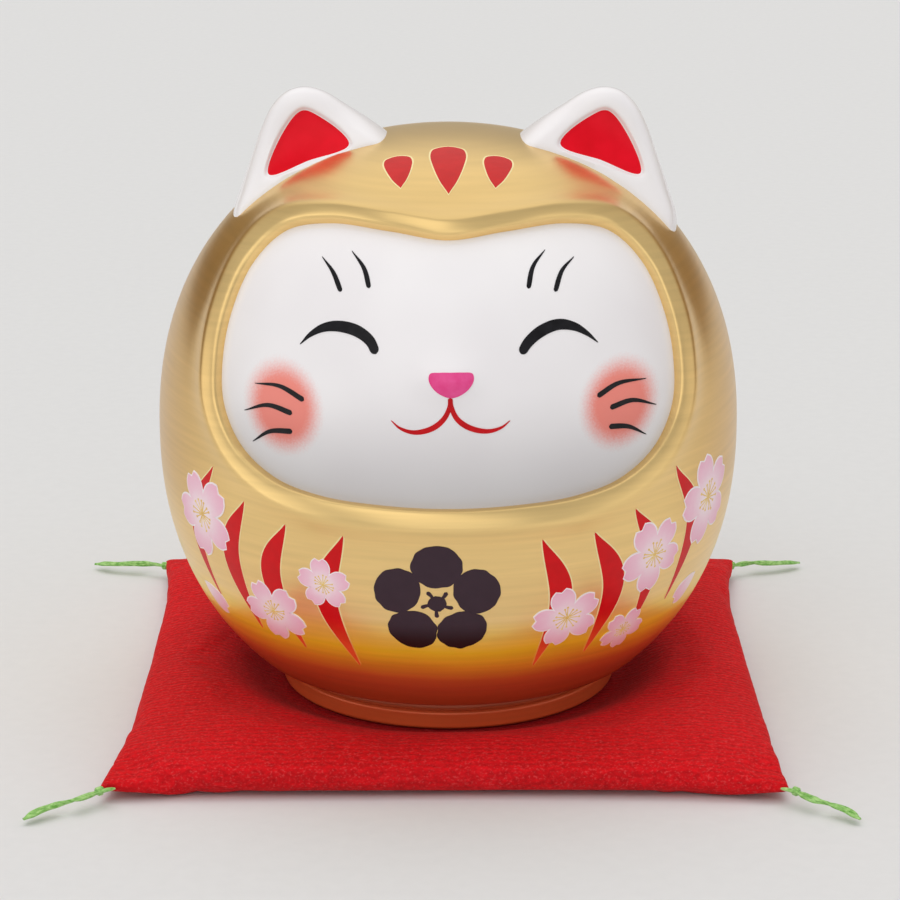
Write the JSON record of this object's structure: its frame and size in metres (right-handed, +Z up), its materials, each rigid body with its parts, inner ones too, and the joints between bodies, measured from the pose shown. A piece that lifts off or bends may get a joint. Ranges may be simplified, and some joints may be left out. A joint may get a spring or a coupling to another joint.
{
  "type": "daruma doll",
  "caption": "Round ceramic cat daruma with a gold hood, a white smiling face, small ears and painted cherry blossom, seated on a square red cushion with tasselled corners.",
  "frame": {"origin": "centre of the cushion's underside, where it lies on the shelf", "axes": "+Z up, the face looks along -Y, +X is on the doll's left hand and the viewer's right"},
  "size_m": [0.1798, 0.1592, 0.1364],
  "materials": {
    "gold_ceramic": "satin metallic gold brushed over ceramic, shading to orange at the base",
    "white_glaze": "gloss",
    "stopper_rubber": "soft matte",
    "red_crepe": "crinkled crepe",
    "wadding": "loose fibre",
    "green_thread": "twisted thread"
  },
  "bodies": {
    "cushion": {"cushion_cover_top": "red_crepe", "cushion_cover_bottom": "red_crepe", "cushion_wadding": "wadding", "tassel_front_left": "green_thread", "tassel_front_right": "green_thread", "tassel_back_left": "green_thread", "tassel_back_right": "green_thread"},
    "doll": {"body_shell": "gold_ceramic", "face_panel": "white_glaze", "ear_left": "white_glaze", "ear_right": "white_glaze"},
    "stopper": {"base_stopper": "stopper_rubber"}
  },
  "joints": [
    {"name": "doll_lift", "type": "slide", "parent": "cushion", "child": "doll", "axis": [0, 0, 1], "range_m": [0, 0.06]},
    {"name": "stopper_pull", "type": "slide", "parent": "doll", "child": "stopper", "axis": [0, 0, -1], "range_m": [0, 0.014]}
  ],
  "couplings": [
    {"joint": "stopper_pull", "follows": "doll_lift", "ratio": 0.2333}
  ]
}
